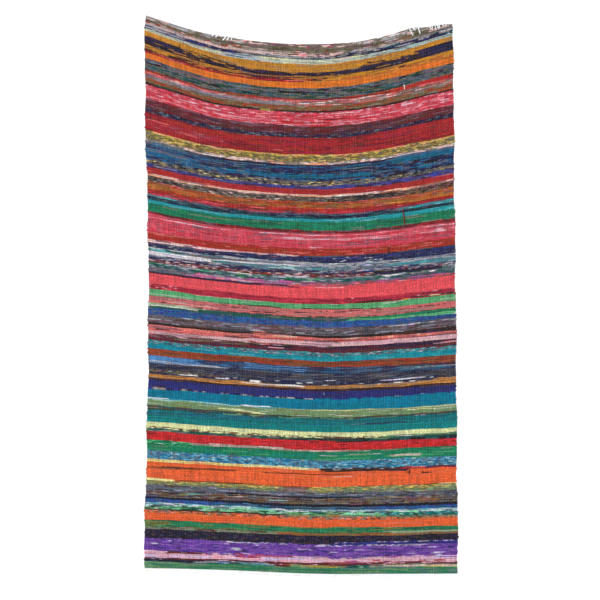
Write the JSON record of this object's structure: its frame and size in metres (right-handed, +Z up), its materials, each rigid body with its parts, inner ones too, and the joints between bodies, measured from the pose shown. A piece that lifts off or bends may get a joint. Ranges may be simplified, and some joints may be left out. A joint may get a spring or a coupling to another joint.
{
  "type": "rag rug hung by its two top corners",
  "caption": "Hand-woven striped cotton rag rug, hung flat by its two top corners so that its top edge sags.",
  "frame": {"origin": "middle of the rug's top edge, halfway through its thickness", "axes": "+Z up along the warps, +X to the right across the rug, face towards -Y"},
  "size_m": [0.8896, 0.0476, 1.5866],
  "materials": {
    "rag_weave": "matte multicoloured rag strips",
    "white_cotton": "matte cotton yarn"
  },
  "bodies": {
    "root": {"woven_panel": "rag_weave", "bottom_heading": "white_cotton", "warp_ends_right": "white_cotton", "warp_ends_left": "white_cotton"}
  },
  "joints": []
}
